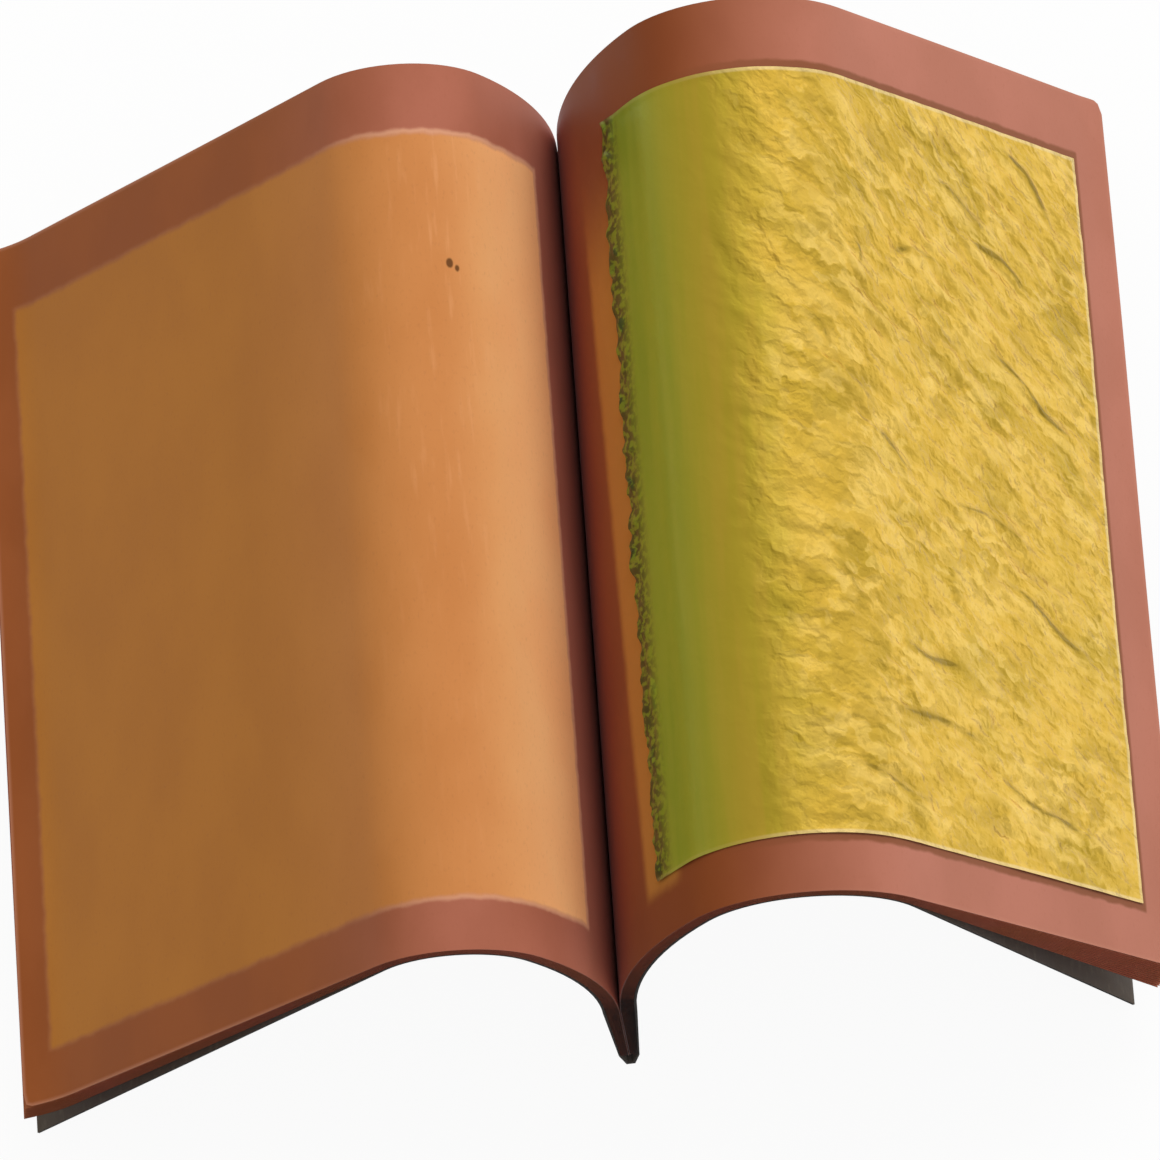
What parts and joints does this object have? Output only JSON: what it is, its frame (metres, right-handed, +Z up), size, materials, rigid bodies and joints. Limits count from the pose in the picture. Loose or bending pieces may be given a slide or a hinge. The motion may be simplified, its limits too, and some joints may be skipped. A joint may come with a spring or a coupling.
{
  "type": "gold leaf booklet",
  "caption": "Open booklet of gold leaf standing on its spine: arched tissue leaves bound in a card cover, with a square gold leaf lying on the right page.",
  "frame": {"origin": "middle of the spine's flat base, on the surface that the booklet stands on", "axes": "+X across the pages towards the right page's fore-edge, +Y along the spine towards the head, +Z up"},
  "size_m": [0.1195, 0.0934, 0.05],
  "materials": {
    "tissue": "matte",
    "gold": "polished",
    "cover": "matte",
    "wire": "satin"
  },
  "bodies": {
    "binding": {"cover_spine": "cover", "foot_staple": "wire", "head_staple": "wire", "tissue_leaf_13_margin": "tissue", "tissue_leaf_14_margin": "tissue", "tissue_leaf_01": "tissue", "tissue_leaf_02": "tissue", "tissue_leaf_03": "tissue", "tissue_leaf_04": "tissue", "tissue_leaf_05": "tissue", "tissue_leaf_06": "tissue", "tissue_leaf_07": "tissue", "tissue_leaf_08": "tissue", "tissue_leaf_09": "tissue", "tissue_leaf_10": "tissue", "tissue_leaf_11": "tissue", "tissue_leaf_12": "tissue", "tissue_leaf_15": "tissue", "tissue_leaf_16": "tissue", "tissue_leaf_17": "tissue", "tissue_leaf_18": "tissue", "tissue_leaf_19": "tissue", "tissue_leaf_20": "tissue", "tissue_leaf_21": "tissue", "tissue_leaf_22": "tissue", "tissue_leaf_23": "tissue", "tissue_leaf_24": "tissue", "tissue_leaf_25": "tissue", "tissue_leaf_26": "tissue", "gold_leaf_01": "gold", "gold_leaf_02": "gold", "gold_leaf_03": "gold", "gold_leaf_04": "gold", "gold_leaf_05": "gold", "gold_leaf_06": "gold", "gold_leaf_07": "gold", "gold_leaf_08": "gold", "gold_leaf_09": "gold", "gold_leaf_10": "gold", "gold_leaf_11": "gold", "gold_leaf_12": "gold", "gold_leaf_14": "gold", "gold_leaf_15": "gold", "gold_leaf_16": "gold", "gold_leaf_17": "gold", "gold_leaf_18": "gold", "gold_leaf_19": "gold", "gold_leaf_20": "gold", "gold_leaf_21": "gold", "gold_leaf_22": "gold", "gold_leaf_23": "gold", "gold_leaf_24": "gold", "gold_leaf_25": "gold"},
    "left_leaf": {"tissue_leaf_13": "tissue"},
    "right_leaf": {"tissue_leaf_14": "tissue"},
    "exposed_gold": {"gold_leaf_13": "gold"},
    "front_cover": {"front_cover": "cover"},
    "back_cover": {"back_cover": "cover"}
  },
  "joints": [
    {"name": "left_leaf_turn", "type": "hinge", "parent": "binding", "child": "left_leaf", "pos_m": [0.00154, 0, 0.02904], "axis": [0, 1, 0], "range_deg": [0, 12]},
    {"name": "right_leaf_turn", "type": "hinge", "parent": "binding", "child": "right_leaf", "pos_m": [0.00457, 0, 0.02878], "axis": [0, -1, 0], "range_deg": [0, 30]},
    {"name": "gold_leaf_lift", "type": "slide", "parent": "right_leaf", "child": "exposed_gold", "axis": [0.2079, 0, 0.9781], "range_m": [0, 0.06]},
    {"name": "front_cover_fold", "type": "hinge", "parent": "binding", "child": "front_cover", "pos_m": [-0.00019, 0, 0.02914], "axis": [0, -1, 0], "range_deg": [0, 60]},
    {"name": "back_cover_fold", "type": "hinge", "parent": "binding", "child": "back_cover", "pos_m": [0.00625, 0, 0.02852], "axis": [0, 1, 0], "range_deg": [0, 60]}
  ]
}
